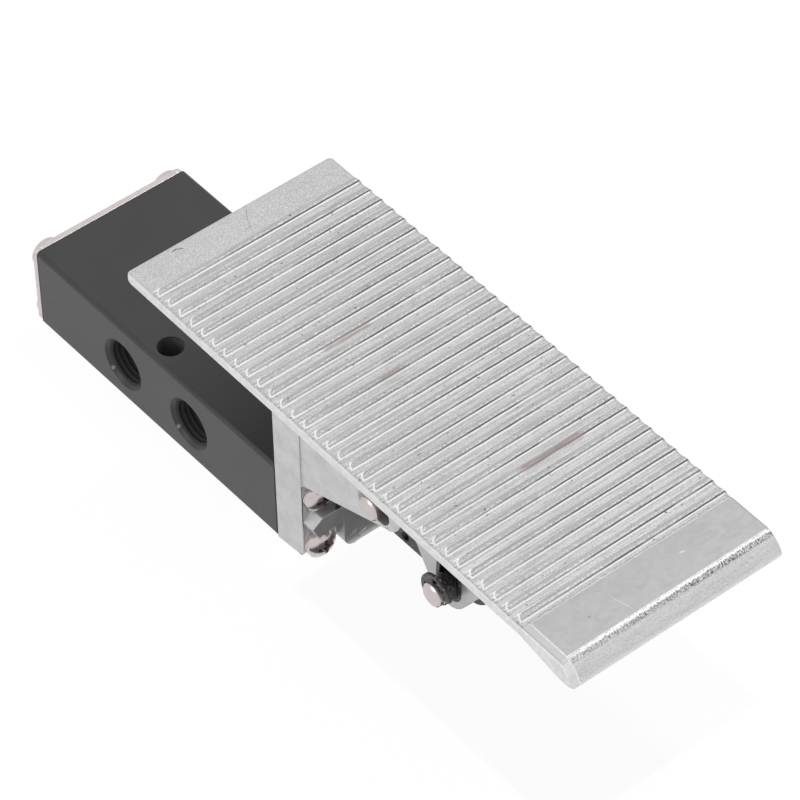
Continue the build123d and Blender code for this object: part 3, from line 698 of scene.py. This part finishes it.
def rib_reach(y):
    """How far the ribs reach back from their feet at a place across: less over their near ends."""
    if y >= RIB_NEAR_END:
        return RIB_WIDTH
    return RIB_WIDTH * max(1 - ((RIB_NEAR_END - y) / RIB_END) ** RIB_END_BEND, 0.0) ** (1 / RIB_END_BEND)


def rib_points(foot, reach):
    """A rib's outline from its heel to its foot: a wedge that is highest at the foot."""
    heel = foot - reach
    full = min(reach / (2 * RIB_FLANK), 1)
    rise = [(heel + steps * RIB_FLANK, share) for steps, share in RIB_RISE]
    fall = [(foot + off, share) for off, share in RIB_FALL]
    points = []
    last = heel
    for u, share in rise + [(heel + reach * 0.5, 1.0)] + fall:
        last = max(u, last)
        climb = (last - foot + RIB_WIDTH - RIB_FLANK) / (RIB_WIDTH - 2 * RIB_FLANK)
        height = RIB_HEEL + (RIB_HEIGHT - RIB_HEEL) * min(max(climb, 0), 1)
        points.append((last, share * full * height))
    return points


def toe_points(toe, raised):
    """The outline over the smooth zone, the nose and the lip."""
    start, end = TOE_ZONE
    depth = LIP_DEPTH - NOSE_DROP
    nose = arc_points((toe - NOSE_BACK, 0), (toe, -NOSE_DROP), NOSE_R, NOSE_STEPS)
    lip_r = (LIP_TIP ** 2 + depth ** 2) / (2 * depth)
    lip = arc_points((toe, -NOSE_DROP), (toe - LIP_TIP, -LIP_DEPTH), lip_r, LIP_STEPS)
    zone = [(start, 0), (start + 0.12, raised * 0.5), (start + 0.3, raised), (end - 0.6, raised),
            (end - 0.35, raised * 0.9)]
    rim = [(toe - NOSE_BACK - 0.2, raised * 0.6), (toe - NOSE_BACK, raised * 0.3 - 0.04),
           (toe - NOSE_BACK + 0.2, -0.19)]
    return zone + rim + nose[1:] + lip[1:] + [(toe - LIP_FOOT, -LIP_DEPTH)]


def side_rounded(u, w, gap):
    """An outline point moved for the plate's rounded sides: down at the top, up underneath."""
    share = 0.0 if w > -EDGE_R * 1.01 else 1.0
    under = edge_drop(gap, LOWER_EDGE_R)
    if u > PEDAL_LENGTH - NOSE_BACK - 1:
        share = min(max(-w / LIP_DEPTH, 0.0), 1.0)
        under = edge_drop(gap, LIP_EDGE_R)
    return u, w - edge_drop(gap, EDGE_R) * (1 - share) + under * share


def plate_section(y):
    """The pedal plate's outline at a place across it: distance along from the heel, height from the top."""
    gap = PEDAL_SIDE - abs(y)
    corner = edge_drop(gap, PEDAL_CORNER)
    toe = PEDAL_LENGTH - edge_drop(gap, TOE_CORNER)
    drops = (EDGE_R, EDGE_R * 0.6, EDGE_R * 0.3, EDGE_R * 0.1)
    points = [(corner + edge_drop(drop, EDGE_R), -drop) for drop in drops]
    points.append((corner + EDGE_R, 0))
    reach = rib_reach(y)
    for k in range(RIB_COUNT):
        points += rib_points(FIRST_RIB + k * RIB_PITCH, reach)
    points += toe_points(toe, TOE_RISE if y > TOE_FOLD + 0.1 else 0.0)
    points += [(LIP_START, -PEDAL_THICKNESS), (corner + EDGE_R, -PEDAL_THICKNESS),
               (corner + EDGE_R * 0.3, EDGE_R * 0.3 - PEDAL_THICKNESS), (corner, EDGE_R - PEDAL_THICKNESS)]
    return [side_rounded(u, w, gap) for u, w in points]


def section_places():
    """Where the plate's sections are across it: close together at the sides and the ribs' near ends."""
    near = list(NEAR_STEPS) + [RIB_BORDER + RIB_END * s for s in RIB_END_SHARES]
    near += [TOE_BORDER + 0.02, TOE_BORDER + 0.2]
    places = sorted(s - PEDAL_SIDE for s in near)
    places += [k * MIDDLE_STEP for k in range(-MIDDLE_STEPS, MIDDLE_STEPS + 1)]
    return places + [PEDAL_SIDE - s for s in FAR_STEPS]


def pedal_plate():
    """The pedal's plate as sections across it, with rounded edges and rib ends."""
    tilt = math.radians(PEDAL_TILT)
    bm = bmesh.new()
    rings = []
    for y in section_places():
        ring = []
        for u, w in plate_section(y):
            x = PEDAL_ORIGIN[0] + u * math.cos(tilt) + w * math.sin(tilt)
            z = PEDAL_ORIGIN[1] - u * math.sin(tilt) + w * math.cos(tilt)
            ring.append(bm.verts.new((x * MM, y * MM, z * MM)))
        rings.append(ring)
    for first, second in zip(rings, rings[1:]):
        for k in range(len(first)):
            bm.faces.new((first[k], first[k - 1], second[k - 1], second[k]))
    bm.faces.new(rings[0])
    bm.faces.new(list(reversed(rings[-1])))
    bmesh.ops.remove_doubles(bm, verts=bm.verts, dist=WELD)
    bmesh.ops.dissolve_degenerate(bm, dist=WELD / 2, edges=bm.edges)
    bmesh.ops.recalc_face_normals(bm, faces=bm.faces)
    return bm


# The other pieces
def pedal_lugs():
    """What hangs under the plate, cut from the CAD node just inside the plate and its rounded edges."""
    bm = bmesh.new()
    bm.from_mesh(frame["nodes"]["pedal"].data)
    bmesh.ops.remove_doubles(bm, verts=bm.verts, dist=WELD)
    tilt = math.radians(PEDAL_TILT)
    up = Vector((math.sin(tilt), 0, math.cos(tilt)))
    cut = Vector((PEDAL_ORIGIN[0], 0, PEDAL_ORIGIN[1])) * MM - up * (PEDAL_THICKNESS - LUG_OVERLAP) * MM
    limits = (
        (cut, up),
        (Vector((LUG_FRONT * MM, 0, 0)), Vector((1, 0, 0))),
        (Vector((LUG_BACK * MM, 0, 0)), Vector((-1, 0, 0))),
        (Vector((0, LUG_SIDE * MM, 0)), Vector((0, 1, 0))),
        (Vector((0, -LUG_SIDE * MM, 0)), Vector((0, -1, 0))),
    )
    for origin, normal in limits:
        geometry = bm.verts[:] + bm.edges[:] + bm.faces[:]
        bmesh.ops.bisect_plane(bm, geom=geometry, plane_co=origin, plane_no=normal, clear_outer=True)
    rounded(bm, LUG_EDGE_R)
    return bm


def thread_profile():
    """The ridges down a port's wall: depth from the mouth, radius."""
    valley_r = PORT_THREAD_R - PORT_VALLEY_GAP
    ridge = ((0, PORT_CREST_R), (0.1, PORT_CREST_R), (0.4, valley_r), (0.6, valley_r))
    profile = [(PORT_CHAMFER - 0.3, PORT_THREAD_R + 0.2)]
    depth = PORT_CHAMFER
    while depth < PORT_THREAD_DEPTH:
        profile += [(depth + PORT_THREAD_PITCH * share, r) for share, r in ridge]
        depth += PORT_THREAD_PITCH
    return profile


def ridged_sleeve(name, x, side):
    """A port's thread: ridges on the wall inside the mouth."""
    bm = bmesh.new()
    rings = []
    for depth, r in thread_profile():
        ring = []
        for k in range(THREAD_SEGMENTS):
            angle = 2 * math.pi * k / THREAD_SEGMENTS
            ring.append(bm.verts.new(((x + r * math.cos(angle)) * MM, side * (BODY_SIDE - depth) * MM,
                                      (PORT_Z + r * math.sin(angle)) * MM)))
        rings.append(ring)
    for first, second in zip(rings, rings[1:]):
        for k in range(THREAD_SEGMENTS):
            after = (k + 1) % THREAD_SEGMENTS
            bm.faces.new((first[k], first[after], second[after], second[k]))
    bmesh.ops.recalc_face_normals(bm, faces=bm.faces)
    bmesh.ops.reverse_faces(bm, faces=bm.faces)
    return piece_of(name, shaded(mesh_from(name, bm), 30), "black_anodised", "valve")


plate = finished("pedal_plate", pedal_plate(), "pedal_aluminium", "foot", 42)
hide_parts("pedal")
finished("pedal_lugs", pedal_lugs(), "pedal_aluminium", "foot")
softened("valve_body", "valve", 0)
softened("front_bracket", "valve", 0.28, 0.9)
softened("rear_cap", "valve", 0.12)
softened("pivot_channel", "valve", 0.15)
softened("drive_lever", "foot", 0.2)
spring = softened("return_spring", "valve", 0)
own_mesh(spring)
for k in (-1, 1):
    ridged_sleeve(f"outlet_thread_{k + 1}", k * PORT_PITCH / 2, -1)
for k in (-1, 0, 1):
    ridged_sleeve(f"inlet_thread_{k + 1}", k * PORT_PITCH, 1)


# Studio
def flat_sheet(name, width, depth, mat):
    """A flat sheet in a material, which isn't part of the object."""
    bm = bmesh.new()
    bmesh.ops.create_grid(bm, x_segments=1, y_segments=1, size=0.5)
    bmesh.ops.scale(bm, vec=(width, depth, 1), verts=bm.verts)
    mesh = mesh_from(name, bm)
    mesh.materials.append(mat)
    sheet = link(bpy.data.objects.new(name, mesh))
    return sheet


def looked_at(tree):
    """One for what the camera or a gloss ray sees."""
    path = tree.nodes.new("ShaderNodeLightPath")
    return larger(tree, path.outputs["Is Camera Ray"], path.outputs["Is Glossy Ray"])


def studio_floor():
    """A white floor that keeps a soft shadow."""
    mat, tree, shader = new_material("floor_white", grey(0.86), 0.0, 0.9)
    glow = tree.nodes.new("ShaderNodeEmission")
    glow.inputs["Strength"].default_value = FLOOR_GLOW
    mix = tree.nodes.new("ShaderNodeMixShader")
    tree.links.new(times(tree, looked_at(tree), FLOOR_GLOW_SHARE), mix.inputs[0])
    tree.links.new(shader.outputs[0], mix.inputs[1])
    tree.links.new(glow.outputs[0], mix.inputs[2])
    tree.links.new(mix.outputs[0], tree.nodes["Material Output"].inputs["Surface"])
    flat_sheet("floor", FLOOR_SIZE, FLOOR_SIZE, mat)


def studio_world():
    """Even white light, with a plain white behind everything that the camera or a gloss ray sees."""
    world = bpy.data.worlds.new("studio")
    scene.world = world
    world.use_nodes = True
    tree = world.node_tree
    back = tree.nodes["Background"]
    back.inputs["Color"].default_value = (1, 1, 1, 1)
    tree.links.new(ramp(tree, looked_at(tree), 0.0, 1.0, WORLD_LIGHT, 1.0), back.inputs["Strength"])


def soft_light(name, direction, distance, size, power):
    """A white area light that looks at the object from a direction."""
    data = bpy.data.lights.new(name, "AREA")
    data.shape = "DISK"
    data.size = size
    data.energy = power
    lamp = link(bpy.data.objects.new(name, data))
    target = Vector(LIGHT_TARGET)
    lamp.location = target + Vector(direction).normalized() * distance
    lamp.rotation_euler = (target - lamp.location).to_track_quat("-Z", "Y").to_euler()


def shade_card():
    """A grey card on the floor, unseen by the camera: bright metal mirrors it as the pedal's shade."""
    mat = new_material("shade_card", grey(0.33), 0.0, 1.0)[0]
    card = flat_sheet("shade_card", *CARD_SIZE, mat)
    card.location = CARD_PLACE
    card.visible_camera = False
    card.visible_shadow = False


def photo_camera():
    """The photograph's camera."""
    azimuth = math.radians(CAMERA_AZIMUTH)
    elevation = math.radians(CAMERA_ELEVATION)
    roll = math.radians(CAMERA_ROLL)
    back = Vector((math.sin(azimuth) * math.cos(elevation), -math.cos(azimuth) * math.cos(elevation),
                   math.sin(elevation)))
    right = Vector((math.cos(azimuth), math.sin(azimuth), 0))
    up = back.cross(right)
    turned_right = math.cos(roll) * right + math.sin(roll) * up
    turned_up = -math.sin(roll) * right + math.cos(roll) * up
    data = bpy.data.cameras.new("camera")
    data.sensor_fit = "HORIZONTAL"
    data.sensor_width = CAMERA_FILM
    data.lens = CAMERA_LENS
    data.clip_start = 0.05
    data.clip_end = 20
    camera = link(bpy.data.objects.new("camera", data))
    turned = Matrix((turned_right, turned_up, back)).transposed().to_4x4()
    camera.matrix_world = Matrix.Translation(Vector(CAMERA_TARGET) + back * CAMERA_DISTANCE) @ turned
    scene.camera = camera


studio_floor()
studio_world()
soft_light("key", direction=(-0.2, -1.0, 0.5), distance=1.6, size=0.9, power=4)
soft_light("crown", direction=(-0.02, 0.43, 0.90), distance=1.6, size=0.25, power=5)
shade_card()
photo_camera()
scene.view_settings.view_transform = "Standard"
